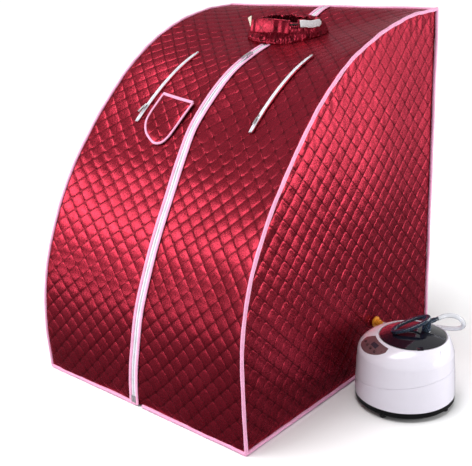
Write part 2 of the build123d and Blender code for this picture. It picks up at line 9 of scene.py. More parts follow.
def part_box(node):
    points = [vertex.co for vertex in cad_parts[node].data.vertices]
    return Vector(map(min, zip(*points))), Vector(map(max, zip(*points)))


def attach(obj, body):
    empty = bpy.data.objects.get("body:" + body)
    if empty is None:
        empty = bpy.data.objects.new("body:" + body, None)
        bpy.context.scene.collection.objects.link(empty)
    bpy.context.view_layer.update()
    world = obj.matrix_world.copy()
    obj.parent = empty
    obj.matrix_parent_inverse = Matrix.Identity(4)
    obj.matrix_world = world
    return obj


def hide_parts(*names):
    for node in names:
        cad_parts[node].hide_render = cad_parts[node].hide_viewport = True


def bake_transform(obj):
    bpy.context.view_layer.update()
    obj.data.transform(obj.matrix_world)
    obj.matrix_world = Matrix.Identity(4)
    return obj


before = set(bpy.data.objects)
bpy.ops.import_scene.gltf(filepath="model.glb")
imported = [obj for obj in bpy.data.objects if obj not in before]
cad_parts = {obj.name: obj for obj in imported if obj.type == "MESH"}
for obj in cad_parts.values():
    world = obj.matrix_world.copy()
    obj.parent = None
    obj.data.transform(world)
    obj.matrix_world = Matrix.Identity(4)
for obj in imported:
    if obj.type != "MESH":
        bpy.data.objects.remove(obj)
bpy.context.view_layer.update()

# ---------------------------------------------------------------- driving dimensions
HALF = 0.3745                # the cloth's edge under the piping, from the middle
PIPE_X = 0.3783
PIPE_R = 0.0046
BOW_LENGTH = 1.483
CELL = 0.0366                # quilting: distance between two stitch lines
PUFF = 0.0026
THICK = 0.005
BINDING = (0.0076, 0.0170)   # pink binding of the main zip, from its middle
COVER_EDGE = BINDING[1] - 0.003
NECK = (0.0, 0.235, 0.120, 0.066)   # middle x and y of the neck opening, then its half width and half depth
MESH_STEP = 0.0042           # grid of the front and side panels
HEM_Z = 0.006
REAR_Y = 0.4285              # rear edge of the side panels
HEM_R = 0.0048
ROD_X = 0.3625
# side outlines (y, z) at equal steps of arc, from hem to rear edge: the cloth hangs a little unevenly
RIGHT_SIDE = ((-.432, .000), (-.435, .150), (-.430, .299), (-.392, .444), (-.319, .575), (-.226, .691),
              (-.121, .798), (.002, .884), (.142, .938), (.288, .969), (.4300, .976))
LEFT_SIDE = ((-.437, .000), (-.440, .147), (-.420, .291), (-.370, .429), (-.299, .558), (-.208, .673),
             (-.104, .777), (.010, .866), (.145, .932), (.287, .967), (.4300, .976))
SAG = ((0, 0), (.08, .008), (.16, .020), (.27, .036), (.4, .044), (.53, .036), (.62, .032), (.7, .033),
       (.79, .042), (.86, .048), (.91, .042), (.95, .020), (.975, .002), (1, 0))
# how far the zip wanders to the side along the bow
WANDER = ((0, -.020), (.04, -.019), (.13, -.006), (.24, .004), (.33, .006), (.43, -.002), (.54, -.022),
          (.62, -.015), (.66, -.013), (.72, -.005), (.80, -.002), (.90, .008), (1, .012))


# ---------------------------------------------------------------- meshes
def smooth_table(points, steps=801):
    """Catmull-Rom curve through evenly spaced points, sampled evenly."""
    p = np.array(points, float)
    p = np.vstack([2 * p[0] - p[1], p, 2 * p[-1] - p[-2]])
    u = np.linspace(0, len(points) - 1, steps)
    i = np.minimum(u.astype(int), len(points) - 2)
    t = (u - i)[:, None]
    a, b, c, d = p[i], p[i + 1], p[i + 2], p[i + 3]
    square, cube = 2 * a - 5 * b + 4 * c - d, 3 * b - a - 3 * c + d
    return .5 * (2 * b + (c - a) * t + square * t ** 2 + cube * t ** 3)


LEFT, RIGHT = smooth_table(LEFT_SIDE), smooth_table(RIGHT_SIDE)


def soft_table(points):
    """801 even samples of the broken line through the points, its corners rounded."""
    raw = np.interp(np.linspace(0, 1, 801), *zip(*points))
    kernel = np.hanning(61) / np.hanning(61).sum()
    return np.convolve(np.pad(raw, 30, mode="edge"), kernel, mode="valid")


SAG_TABLE, WANDER_TABLE = soft_table(SAG), soft_table(WANDER)
SAG_TABLE[0] = SAG_TABLE[-1] = 0


def table_at(table, f):
    u = np.clip(f, 0, 1) * 800
    i = np.minimum(u.astype(int), 799)
    t = u - i
    if table.ndim == 2:
        t = t[..., None]
    return table[i] * (1 - t) + table[i + 1] * t


def cloth(x, f):
    """Points of the cover without quilting, for arrays of x and of the share f of the bow from the hem."""
    x, f = np.broadcast_arrays(np.asarray(x, float), np.asarray(f, float))
    k = ((x + HALF) / (2 * HALF))[..., None]
    side, ahead, behind = (table_at(LEFT, g) * (1 - k) + table_at(RIGHT, g) * k
                           for g in (f, f + .004, f - .004))
    t = ahead - behind
    t /= np.linalg.norm(t, axis=-1, keepdims=True)
    inward = np.stack([t[..., 1], -t[..., 0]], -1)
    sag = table_at(SAG_TABLE, f) * (1 - (x / HALF) ** 2)
    yz = side + inward * sag[..., None]
    x = x + table_at(WANDER_TABLE, f) * np.exp(-(x / .055) ** 2)
    return np.stack([x, yz[..., 0], yz[..., 1]], -1)


def normals(p):
    """Unit normals of a grid of points, pointing out when columns run along +x and rows up the bow."""
    du = np.gradient(p, axis=1)
    dv = np.gradient(p, axis=0)
    n = np.cross(du, dv)
    return n / np.maximum(np.linalg.norm(n, axis=-1, keepdims=True), 1e-12)


def noise_grid(p, scale, seed):
    """Smooth noise from -1 to 1 at each point."""
    shape = p.shape[:-1]
    flat = p.reshape(-1, 3) * scale + seed * 7.31
    return np.array([noise.noise(Vector(q)) for q in flat]).reshape(shape)


def quilt(u, v, strength=1.0, seed=0.0):
    """Height of the padding between diagonal stitch lines, for cloth coordinates in metres."""
    a = (u + v) / math.sqrt(2) / CELL + .37 + seed
    b = (v - u) / math.sqrt(2) / CELL + .11
    pillow = np.abs(np.sin(math.pi * a) * np.sin(math.pi * b))
    ia, ib = np.floor(a), np.floor(b)
    wild = np.sin(ia * 12.9898 + ib * 78.233 + seed * 3.1) * 43758.5453
    wild = wild - np.floor(wild)
    wild2 = np.sin(ia * 39.346 + ib * 11.135 + seed) * 24634.6345
    wild2 = wild2 - np.floor(wild2) - .5
    tilt = (a - ia - .5) * wild2 + (b - ib - .5) * (wild - .5)
    return PUFF * strength * pillow ** .22 * (.88 + .24 * wild + .30 * tilt)


def mesh_object(name, verts, faces, uvs):
    """A smooth-shaded mesh with one uv pair per vertex."""
    mesh = bpy.data.meshes.new(name)
    mesh.from_pydata([tuple(v) for v in verts], [], faces)
    mesh.validate()
    layer = mesh.uv_layers.new(name="cloth")
    index = np.empty(len(mesh.loops), int)
    mesh.loops.foreach_get("vertex_index", index)
    layer.data.foreach_set("uv", np.asarray(uvs, float)[index].ravel())
    mesh.polygons.foreach_set("use_smooth", [True] * len(mesh.polygons))
    mesh.update()
    obj = bpy.data.objects.new(name, mesh)
    bpy.context.scene.collection.objects.link(obj)
    return obj


def panel(name, front, back, uv, keep=None):
    """A closed quilted panel between two grids of points; keep drops the cells where it is false."""
    rows, cols = front.shape[:2]
    count = rows * cols
    if keep is None:
        keep = np.ones((rows - 1, cols - 1), bool)
    faces = []
    r, c = np.nonzero(keep)
    a = r * cols + c
    for q in np.stack([a, a + 1, a + cols + 1, a + cols], -1).tolist():
        faces.append(q)
        faces.append([q[3] + count, q[2] + count, q[1] + count, q[0] + count])
    side = np.zeros((rows + 1, cols + 1), bool)
    side[1:-1, 1:-1] = keep
    for i, j in zip(r.tolist(), c.tolist()):
        q = (i * cols + j, i * cols + j + 1, (i + 1) * cols + j + 1, (i + 1) * cols + j)
        open_edge = (not side[i, j + 1], not side[i + 1, j + 2], not side[i + 2, j + 1], not side[i + 1, j])
        for k, is_open in enumerate(open_edge):
            if is_open:
                s, e = q[k], q[(k + 1) % 4]
                faces.append([e, s, s + count, e + count])
    verts = np.concatenate([front.reshape(-1, 3), back.reshape(-1, 3)])
    uvs = np.concatenate([uv.reshape(-1, 2), uv.reshape(-1, 2)])
    order = np.unique(np.concatenate([np.array(f) for f in faces]))
    remap = np.full(2 * count, -1)
    remap[order] = np.arange(len(order))
    faces = [remap[f].tolist() for f in faces]
    return mesh_object(name, verts[order], faces, uvs[order])


# sections of a ribbon as (across, up) shares
BAND = ((-1, 0), (-.96, .55), (-.8, .9), (-.4, 1), (0, 1), (.4, 1), (.8, .9), (.96, .55), (1, 0),
        (.5, -.1), (-.5, -.1))
FLAT_BAND = ((-1, 0), (-.97, .8), (-.85, 1), (0, 1), (.85, 1), (.97, .8), (1, 0))
COIL_BAND = ((-1, 0), (-.8, .6), (-.3, 1), (.3, 1), (.8, .6), (1, 0), (.4, -.3), (-.4, -.3))


def ribbon(name, path, out, width, height, profile=BAND):
    """A band laid along path: out are the normals at its points, profile is its section."""
    path, out = np.asarray(path, float), np.asarray(out, float)
    along = np.gradient(path, axis=0)
    along /= np.linalg.norm(along, axis=1, keepdims=True)
    across = np.cross(along, out)
    across /= np.linalg.norm(across, axis=1, keepdims=True)
    width = np.broadcast_to(np.asarray(width, float), len(path))
    height = np.broadcast_to(np.asarray(height, float), len(path))
    n, m = len(path), len(profile)
    verts, uvs = [], []
    length = np.concatenate([[0], np.cumsum(np.linalg.norm(np.diff(path, axis=0), axis=1))])
    for w, h in profile:
        verts.append(path + across * (w * width / 2)[:, None] + out * (h * height)[:, None])
        uvs.append(np.stack([w * width / 2, length], -1))
    verts = np.stack(verts, 1).reshape(-1, 3)
    uvs = np.stack(uvs, 1).reshape(-1, 2)
    return mesh_object(name, verts, skin(n, m), uvs)


def skin(n, m):
    """Faces of n rings of m points each, with both ends closed."""
    faces = []
    for i in range(n - 1):
        for k in range(m):
            q = (k + 1) % m
            faces.append([i * m + k, i * m + q, (i + 1) * m + q, (i + 1) * m + k])
    faces.append(list(range(m))[::-1])
    faces.append([(n - 1) * m + k for k in range(m)])
    return faces


def tube(name, path, radius, sides=12):
    """A round bar along path, with rounded ends. radius may vary along it."""
    path = np.asarray(path, float)
    radius = np.broadcast_to(np.asarray(radius, float), len(path))
    along = np.gradient(path, axis=0)
    along /= np.linalg.norm(along, axis=1, keepdims=True)
    first = np.array((0, 1, 0) if abs(along[0][2]) > .95 else (0, 0, 1), float)
    side = first - along[0] * (first @ along[0])
    rings = []
    length = 0.0
    for i in range(len(path)):
        side = side - along[i] * (side @ along[i])
        side /= np.linalg.norm(side)
        if i:
            length += np.linalg.norm(path[i] - path[i - 1])
        rings.append((path[i], along[i], side.copy(), np.cross(along[i], side), radius[i], length))
    p, t, s, o, r, l = rings[0]
    rings = [(p - t * r * .45, t, s, o, r * .55, l), (p - t * r * .25, t, s, o, r * .85, l)] + rings
    p, t, s, o, r, l = rings[-1]
    rings += [(p + t * r * .25, t, s, o, r * .85, l), (p + t * r * .45, t, s, o, r * .55, l)]
    turn = np.linspace(0, 2 * math.pi, sides, endpoint=False)
    verts, uvs = [], []
    for p, t, s, o, r, l in rings:
        verts.append(p + np.outer(np.cos(turn) * r, s) + np.outer(np.sin(turn) * r, o))
        uvs.append(np.stack([turn / (2 * math.pi) * .03, np.full(sides, l)], -1))
    return mesh_object(name, np.concatenate(verts), skin(len(rings), sides), np.concatenate(uvs))


# ---------------------------------------------------------------- materials
def nodes_of(name):
    mat = bpy.data.materials.new(name)
    mat.use_nodes = True
    tree = mat.node_tree
    return mat, tree, tree.nodes["Principled BSDF"]


def add(tree, kind, inputs=None, **props):
    node = tree.nodes.new(kind)
    for key, value in props.items():
        setattr(node, key, value)
    for key, value in (inputs or {}).items():
        if isinstance(value, bpy.types.NodeSocket):
            tree.links.new(value, node.inputs[key])
        else:
            node.inputs[key].default_value = value
    return node


def ramp(tree, factor, stops):
    node = add(tree, "ShaderNodeValToRGB", {"Fac": factor})
    elements = node.color_ramp.elements
    while len(elements) < len(stops):
        elements.new(.5)
    for element, (place, colour) in zip(elements, stops):
        element.position = place
        element.color = colour if len(colour) == 4 else (*colour, 1)
    return node.outputs["Color"]


def bump(tree, shader, heights):
    """Chains bump nodes: each height is (socket, strength, distance)."""
    last = None
    for height, strength, distance in heights:
        node = add(tree, "ShaderNodeBump", {"Height": height, "Strength": strength, "Distance": distance})
        if last is not None:
            tree.links.new(last.outputs["Normal"], node.inputs["Normal"])
        last = node
    tree.links.new(last.outputs["Normal"], shader.inputs["Normal"])


def math_node(tree, operation, a, b=0.0):
    return add(tree, "ShaderNodeMath", {0: a, 1: b}, operation=operation).outputs[0]


def satin(name, base, dark, roughness=.34, metallic=.35, stitch=True):
    """Crimson satin quilted along diagonals: fine weave, puckers beside the stitches, a soft thread line,
    and painted shade that darkens the colour in the stitch grooves.
    """
    mat, tree, shader = nodes_of(name)
    uv = add(tree, "ShaderNodeUVMap", uv_map="cloth").outputs["UV"]
    parts = add(tree, "ShaderNodeSeparateXYZ", {0: uv})
    u, v = parts.outputs[0], parts.outputs[1]
    k = 1 / math.sqrt(2) / CELL
    a = math_node(tree, "ADD", math_node(tree, "MULTIPLY", math_node(tree, "ADD", u, v), k), .37)
    b = math_node(tree, "ADD", math_node(tree, "MULTIPLY", math_node(tree, "SUBTRACT", v, u), k), .11)
    waves = []
    for turns in (a, b):
        wave = math_node(tree, "SINE", math_node(tree, "MULTIPLY", turns, math.pi))
        waves.append(math_node(tree, "ABSOLUTE", wave))
    groove = math_node(tree, "MULTIPLY", *waves)
    # painted shade: mask that is strongest on the stitch lines and fades across the grooves between the
    # pillows
    groove_shade = ramp(tree, groove, ((0, (1, 1, 1)), (.05, (.45, .45, .45)), (.17, (0, 0, 0))))
    patches = add(tree, "ShaderNodeTexNoise", {"Vector": uv, "Scale": 9.0, "Detail": 3.0, "Roughness": .6})
    creases = add(tree, "ShaderNodeTexNoise",
                  {"Vector": uv, "Scale": 75.0, "Detail": 4.0, "Roughness": .62, "Distortion": 1.6})
    weave = add(tree, "ShaderNodeTexWave", {"Vector": uv, "Scale": 700.0, "Distortion": .5},
                wave_type="BANDS", bands_direction="Y")
    shade = ramp(tree, patches.outputs["Fac"], ((.3, dark), (.7, base)))
    # painted shade: the colour turns to the dark tone times .45 in the stitch grooves
    inside = add(tree, "ShaderNodeMix", {"Factor": groove_shade, "A": shade, "B": (*[c * .45 for c in dark[:3]], 1)},
                 data_type="RGBA")
    tree.links.new(inside.outputs["Result"], shader.inputs["Base Color"])
    rough = add(tree, "ShaderNodeMapRange", {"Value": creases.outputs["Fac"], "From Min": .3, "From Max": .7,
                                             "To Min": roughness - .07, "To Max": roughness + .1})
    tree.links.new(rough.outputs["Result"], shader.inputs["Roughness"])
    shader.inputs["Metallic"].default_value = metallic
    shader.inputs["Specular Tint"].default_value = (1, .55, .62, 1)
    shader.inputs["Sheen Weight"].default_value = .04
    shader.inputs["Sheen Roughness"].default_value = .3
    shader.inputs["Sheen Tint"].default_value = (1, .25, .38, 1)
    heights = [(creases.outputs["Fac"], .22, .0018), (weave.outputs["Fac"], .12, .0002)]
    if stitch:
        line = ramp(tree, groove, ((0, (0, 0, 0)), (.14, (.8, .8, .8)), (.3, (1, 1, 1))))
        heights.insert(0, (line, .6, .0011))
    bump(tree, shader, heights)
    return mat


def woven(name, base, line, roughness=.7, ribs=420.0, sheen=.2, depth=.35):
    """Ribbed tape: ribs along it and a little colour change."""
    mat, tree, shader = nodes_of(name)
    uv = add(tree, "ShaderNodeUVMap", uv_map="cloth").outputs["UV"]
    rib = add(tree, "ShaderNodeTexWave", {"Vector": uv, "Scale": ribs / 2, "Distortion": .6, "Detail": 1.0},
              wave_type="BANDS", bands_direction="X")
    cross = add(tree, "ShaderNodeTexWave", {"Vector": uv, "Scale": ribs, "Distortion": .4},
                wave_type="BANDS", bands_direction="Y")
    dirt = add(tree, "ShaderNodeTexNoise", {"Vector": uv, "Scale": 30.0, "Detail": 3.0})
    tint = ramp(tree, rib.outputs["Fac"], ((.15, line), (.75, base)))
    soft = ramp(tree, dirt.outputs["Fac"], ((.3, (.86, .86, .86)), (.7, (1, 1, 1))))
    mixed = add(tree, "ShaderNodeMix", {"Factor": 1.0, "A": tint, "B": soft},
                data_type="RGBA", blend_type="MULTIPLY")
    tree.links.new(mixed.outputs["Result"], shader.inputs["Base Color"])
    shader.inputs["Roughness"].default_value = roughness
    shader.inputs["Sheen Weight"].default_value = sheen
    bump(tree, shader, [(rib.outputs["Fac"], depth, .0006), (cross.outputs["Fac"], depth * .5, .0003)])
    return mat


def plastic(name, base, roughness=.25, coat=.0, grain=900.0, depth=.05, variation=.06, **sockets):
    """Moulded plastic: slight colour drift, fine grain, rubbed patches in the gloss."""
    mat, tree, shader = nodes_of(name)
    where = add(tree, "ShaderNodeTexCoord").outputs["Object"]
    drift = add(tree, "ShaderNodeTexNoise", {"Vector": where, "Scale": 14.0, "Detail": 3.0})
    fine = add(tree, "ShaderNodeTexNoise", {"Vector": where, "Scale": grain, "Detail": 2.0})
    low = tuple(c * (1 - variation) for c in base[:3])
    colour = ramp(tree, drift.outputs["Fac"], ((.3, low), (.7, tuple(base[:3]))))
    tree.links.new(colour, shader.inputs["Base Color"])
    rough = add(tree, "ShaderNodeMapRange", {"Value": drift.outputs["Fac"], "From Min": .3, "From Max": .7,
                                             "To Min": roughness * .85, "To Max": roughness * 1.2})
    tree.links.new(rough.outputs["Result"], shader.inputs["Roughness"])
    shader.inputs["Coat Weight"].default_value = coat
    for key, value in sockets.items():
        shader.inputs[key.replace("_", " ")].default_value = value
    bump(tree, shader, [(fine.outputs["Fac"], depth, .0004)])
    return mat


def metal(name, base, roughness=.28):
    """Brushed metal: fine streaks in the colour, the gloss and the surface."""
    mat, tree, shader = nodes_of(name)
    where = add(tree, "ShaderNodeTexCoord").outputs["Object"]
    brush = add(tree, "ShaderNodeTexNoise", {"Vector": where, "Scale": 400.0, "Detail": 3.0})
    colour = ramp(tree, brush.outputs["Fac"], ((.3, tuple(c * .85 for c in base)), (.7, base)))
    tree.links.new(colour, shader.inputs["Base Color"])
    shader.inputs["Metallic"].default_value = 1.0
    rough = add(tree, "ShaderNodeMapRange", {"Value": brush.outputs["Fac"], "To Min": roughness * .7,
                                             "To Max": roughness * 1.4})
    tree.links.new(rough.outputs["Result"], shader.inputs["Roughness"])
    bump(tree, shader, [(brush.outputs["Fac"], .06, .0002)])
    return mat


SATIN = satin("quilted_satin", (.32, .017, .037), (.26, .012, .027), roughness=.25, metallic=.82)
SATIN_PLAIN = satin("plain_satin", (.34, .012, .034), (.15, .005, .014), roughness=.28, metallic=.7,
                    stitch=False)
PINK = woven("pink_binding", (.95, .46, .68), (.84, .32, .56), roughness=.55, ribs=500.0, sheen=.2)
TAPE = woven("zip_tape", (.90, .88, .95), (.78, .76, .86), roughness=.75, ribs=700.0)
COIL = woven("zip_coil", (.90, .91, .94), (.68, .72, .76), roughness=.4, ribs=900.0, depth=.7)
CORD = woven("black_cord", (.02, .02, .025), (.005, .005, .006), roughness=.8, ribs=900.0)
TAG = woven("strap_tag_cloth", (.90, .84, .70), (.78, .70, .55), roughness=.7, ribs=900.0)
HOOK = woven("hook_tape", (.95, .95, .96), (.80, .80, .84), roughness=.6, ribs=1500.0)
GREY = woven("end_patch", (.32, .30, .32), (.22, .20, .22), roughness=.8, ribs=900.0)
MAT_CLOTH = woven("floor_cloth", (.16, .015, .03), (.11, .008, .02), roughness=.75, ribs=300.0)
NICKEL = metal("nickel", (.72, .72, .74))
ALU = metal("aluminium", (.75, .75, .76), .35)
WHITE = plastic("housing_white", (.80, .77, .86), .22, coat=.4, depth=.02, variation=.03)
BLACK = plastic("gloss_black", (.004, .004, .005), .3)
MATT_BLACK = plastic("matt_black", (.02, .02, .022), .55, grain=600.0, depth=.2)
LID = plastic("smoked_lid", (.007, .006, .012), .07, coat=1.0, depth=.01)
BLUE = plastic("smoke_blue", (.03, .06, .11), .08, coat=.8, depth=.02, Transmission_Weight=.55, IOR=1.46)
PANEL = plastic("panel_film", (.15, .075, .085), .3, coat=.3)
SCREEN = plastic("display", (.03, .035, .05), .08, coat=1.0)
BUTTON = plastic("button_film", (.07, .03, .035), .35)
ORANGE = plastic("inlet_orange", (.80, .33, .03), .3, coat=.2)
RODS = plastic("rod_grey", (.6, .6, .62), .4, coat=.2)
SEAL = plastic("seal_rubber", (.5, .5, .5), .6)
BOARD = plastic("circuit_green", (.02, .12, .05), .4)
HOSE = plastic("clear_hose", (.86, .88, .93), .18, coat=.3, Transmission_Weight=.45, IOR=1.35)


def dress(obj, mat):
    """Gives obj its material and returns it."""
    obj.data.materials.clear()
    obj.data.materials.append(mat)
    return obj


def fold(obj):
    """Bakes obj's placement into its mesh; the flap piece is left on no body."""
    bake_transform(obj)


# ---------------------------------------------------------------- quilted panels
def make_cover(side):
    """One half of the bowed front and top, which opens as a flap in its lower part."""
    name = "right" if side > 0 else "left"
    xs = np.linspace(COVER_EDGE, HALF, int((HALF - BINDING[1]) / MESH_STEP)) * side
    if side < 0:
        xs = xs[::-1]
    fs = np.linspace(.004, 1, int(BOW_LENGTH / MESH_STEP))
    x, f = np.meshgrid(xs, fs)
    base = cloth(x, f)
    n = normals(base)
    u, v = x, f * BOW_LENGTH
    edge = np.minimum(HALF - np.abs(x), np.abs(x) - COVER_EDGE)
    calm = np.clip(edge / .018, 0, 1) ** .6 * np.clip((f * BOW_LENGTH) / .03, .2, 1)
    slack = 1 - .45 * np.clip((f - .45) / .12, 0, 1)
    height = quilt(u, v) * (.25 + .75 * calm) * slack
    wave = noise_grid(np.stack([u, v, 0 * u], -1), 5.0, 1 + side) * .0045
    pucker = noise_grid(np.stack([u, v * .35, 0 * u], -1), 60.0, 3 + side) * .0011
    near = np.exp(-((HALF - np.abs(x)) / .03) ** 2) + np.exp(-((np.abs(x) - BINDING[1]) / .02) ** 2)
    height = height + wave * np.clip(edge / .06, 0, 1) + pucker * near
    height = height * np.clip((1 - f) * BOW_LENGTH / .035, 0, 1) ** .6
    front = base + n * height[..., None]
    back = base - n * THICK
    cx, cy, a, b = NECK
    mid = base[:-1, :-1] * .5 + base[1:, 1:] * .5
    reach = np.where(mid[..., 0] < 0, a - .018, a)
    keep = ((mid[..., 0] - cx) / reach) ** 2 + ((mid[..., 1] - cy) / b) ** 2 > 1
    obj = panel(f"front_cover_{name}", front, back, np.stack([u, v], -1), keep)
    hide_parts(f"cover_{name}", f"door_{name}")
    dress(obj, SATIN)
    fold(obj)


def make_side(side):
    """A flat quilted side wall, trimmed to the bow."""
    name = "right" if side > 0 else "left"
    table = RIGHT if side > 0 else LEFT
    y0 = table[:, 0].min() + .004
    ys = np.linspace(y0, REAR_Y, int((REAR_Y - y0) / MESH_STEP))
    upper = np.interp(ys, *zip(*sorted((p[0], p[1]) for p in table if p[1] > .12))) - .003
    zs = np.linspace(HEM_Z, .975, int(.97 / MESH_STEP))
    y, z = np.meshgrid(ys, zs)
    z = np.minimum(z, np.maximum(upper, HEM_Z)[None, :])
    x = np.full_like(y, side * (PIPE_X - .0022))
    base = np.stack([x, y, z], -1)
    arc_gap = np.maximum(upper[None, :] - z, 0)
    edge = np.minimum.reduce([arc_gap, z - HEM_Z, REAR_Y - y, y - y0 + .01])
    calm = np.clip(edge / .02, 0, 1) ** .6
    slack = np.clip(.35 + (.35 - y) * .9 + (.40 - z) * .5, .3, 1.1)
    height = quilt(y, z, .9, seed=.3) * (.2 + .8 * calm) * slack
    wave = noise_grid(np.stack([y, z, 0 * y], -1), 4.5, 5 + side) * .003
    near = np.exp(-(np.minimum(arc_gap, .4) / .045) ** 2)
    pucker = noise_grid(np.stack([y, z * .6, 0 * y], -1), 55.0, 8 + side) * .0022
    height = height + wave * np.clip(edge / .06, 0, 1) + pucker * (near + .25) * np.clip(edge / .01, 0, 1)
    out = np.array((side, 0, 0), float)
    front = base + out * (height - .0015)[..., None]
    back = base - out * THICK
    if side < 0:
        front, back, y, z = front[:, ::-1], back[:, ::-1], y[:, ::-1], z[:, ::-1]
    obj = panel(f"side_panel_{name}", front, back, np.stack([y, z], -1))
    clean(obj)
    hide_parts(f"side_wall_{name}")
    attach(dress(obj, SATIN), "tent")


def clean(obj):
    """Drops the collapsed cells of a panel trimmed to a curve."""
    bm = bmesh.new()
    bm.from_mesh(obj.data)
    bmesh.ops.remove_doubles(bm, verts=bm.verts, dist=1e-5)
    bmesh.ops.dissolve_degenerate(bm, edges=bm.edges, dist=1e-6)
    bm.to_mesh(obj.data)
    bm.free()
    obj.data.polygons.foreach_set("use_smooth", [True] * len(obj.data.polygons))
    obj.data.update()


def make_rear():
    """The flat quilted rear wall."""
    step = .0045
    xs = np.linspace(HALF, -HALF, int(2 * HALF / step))
    zs = np.linspace(HEM_Z, .972, int(.966 / step))
    x, z = np.meshgrid(xs, zs)
    y = np.full_like(x, .4305)
    edge = np.minimum.reduce([HALF - np.abs(x), z, .975 - z])
    calm = np.clip(edge / .02, 0, 1) ** .6
    height = quilt(x, z, .85, seed=.6) * (.2 + .8 * calm)
    wave = noise_grid(np.stack([x, z, 0 * x], -1), 4.0, 11) * .004
    height = height + wave * np.clip(edge / .06, 0, 1)
    base = np.stack([x, y, z], -1)
    out = np.array((0, 1, 0), float)
    front = base + out * (height - .001)[..., None]
    obj = panel("rear_cover", front, base - out * THICK, np.stack([x, z], -1))
    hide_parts("rear_panel")
    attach(dress(obj, SATIN), "tent")


def make_floor_mat():
    """The thin floor cloth, laid in soft ripples."""
    xs, ys = np.linspace(-.368, .368, 90), np.linspace(-.422, .422, 100)
    x, y = np.meshgrid(xs, ys)
    base = np.stack([x, y, np.full_like(x, .0022)], -1)
    rise = noise_grid(base, 9.0, 21) * .0011
    edge = np.minimum(.368 - np.abs(x), .422 - np.abs(y))
    top = base + np.array((0, 0, 1.0)) * (rise * np.clip(edge / .03, 0, 1) + .0006)[..., None]
    under = base - np.array((0, 0, .0018))
    obj = panel("floor_cloth", top, under, np.stack([x, y], -1))
    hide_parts("floor_mat")
    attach(dress(obj, MAT_CLOTH), "tent")


# ---------------------------------------------------------------- zips and bindings
def on_cloth(x, f, lift=0.0):
    """Points and normals on the cover for paths given as x and f."""
    x, f = np.broadcast_arrays(np.asarray(x, float), np.asarray(f, float))
    p = cloth(x, f)
    d = .003
    up_bow = cloth(x, np.minimum(f + .002, 1)) - cloth(x, np.maximum(f - .002, 0))
    n = np.cross(cloth(x + d, f) - cloth(x - d, f), up_bow)
    n /= np.linalg.norm(n, axis=-1, keepdims=True)
    return p + n * lift, n


MIDDLE_F = np.linspace(.25, 1, 1201)
MIDDLE_Y = cloth(np.zeros(1201), MIDDLE_F)[:, 1]


def make_main_zip():
    """Binding, tape and coil on both sides of the middle, before and behind the collar."""
    collar_front, collar_rear = np.interp((.148, .318), MIDDLE_Y, MIDDLE_F)
    spans = {"front": np.linspace(.003, collar_front, 330), "rear": np.linspace(collar_rear, .996, 40)}
    for side in (-1, 1):
        name = "right" if side > 0 else "left"
        for span, f in spans.items():
            wobble = .0006 * np.sin(f * 41 + side) * np.clip((f - .3) * 4, 0, 1)
            p, n = on_cloth(side * (BINDING[0] + BINDING[1]) / 2 + wobble, f, .0022)
            binding = ribbon(f"main_zip_binding_{name}_{span}", p, n, BINDING[1] - BINDING[0], .0026)
            dress(binding, PINK)
            p, n = on_cloth(side * .0048 + wobble, f, .0012)
            tape = ribbon(f"main_zip_tape_{name}_{span}", p, n, .0078, .0012)
            dress(tape, TAPE)
            p, n = on_cloth(side * .0013 + wobble, f, .0020)
            coil = ribbon(f"main_zip_coil_{name}_{span}", p, n, .0023, .0016, COIL_BAND)
            dress(coil, COIL)
            if span == "front":
                for piece in (binding, tape, coil):
                    fold(piece)
                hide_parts(f"door_binding_{name}", "zip_bindings_fixed")
                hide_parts(f"door_zip_{name}", "zips_fixed")
            else:
                for piece in (binding, tape, coil):
                    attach(piece, "tent")
    f = np.linspace(.002, .018, 8)
    for side in (-1, 1):
        p, n = on_cloth(side * .0043, f, .0035)
        patch = ribbon(f"zip_end_patch_{'right' if side > 0 else 'left'}", p, n, .0080, .0016)
        dress(patch, GREY)
        fold(patch)


# upper and lower end (x, y) of each arm zip
ARM = {-1: ((-.189, .065), (-.231, -.156)), 1: ((.222, .065), (.192, -.156))}


def f_of(x, y):
    """Share of the bow where the cover passes (x, y)."""
    f = np.linspace(.3, 1, 1401)
    return float(np.interp(y, cloth(np.full(1401, x), f)[:, 1], f))


def make_arm_zips():
    """Two tapes and a coil on a narrow placket over each arm opening."""
    made = []
    for side, ((xt, yt), (xb, yb)) in ARM.items():
        name = "right" if side > 0 else "left"
        t = np.linspace(0, 1, 90)
        xs = xb + (xt - xb) * t
        ys = yb + (yt - yb) * t
        f = np.array([f_of(a, b) for a, b in zip(xs, ys)])
        taper = np.clip((1 - t) / .06, .35, 1) * np.clip(t / .02, .6, 1)
        for k in (-1, 1):
            p, n = on_cloth(xs + k * .0031, f, .0042)
            width = .0060 * taper * (1 - .45 * t ** 2)
            tape = ribbon(f"arm_zip_tape_{name}_{'b' if k > 0 else 'a'}", p, n, width, .0014)
            made.append(dress(tape, TAPE))
        p, n = on_cloth(xs, f, .0052)
        coil = ribbon(f"arm_zip_coil_{name}", p, n, .0022, .0014)
        made.append(dress(coil, COIL))
        p, n = on_cloth(xs, f, .0008)
        placket = ribbon(f"arm_zip_placket_{name}", p, n, .017, .0032)
        made.append(dress(placket, SATIN_PLAIN))
    for piece in made:
        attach(piece, "tent")
    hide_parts("arm_zips")


MIDDLE_LINE = ((0, -.4), (0, .4))
# each slider's or pull's node: its body, and the zip's line from its lower to its upper end
SLIDERS = {"main_zip_slider": ("main_slider", MIDDLE_LINE), "main_zip_pull": ("main_pull", MIDDLE_LINE),
           "arm_zip_slider_left": ("arm_slider_left", ARM[-1][::-1]),
           "arm_zip_slider_right": ("arm_slider_right", ARM[1][::-1])}
SLIDER_LIFT = 0.0035


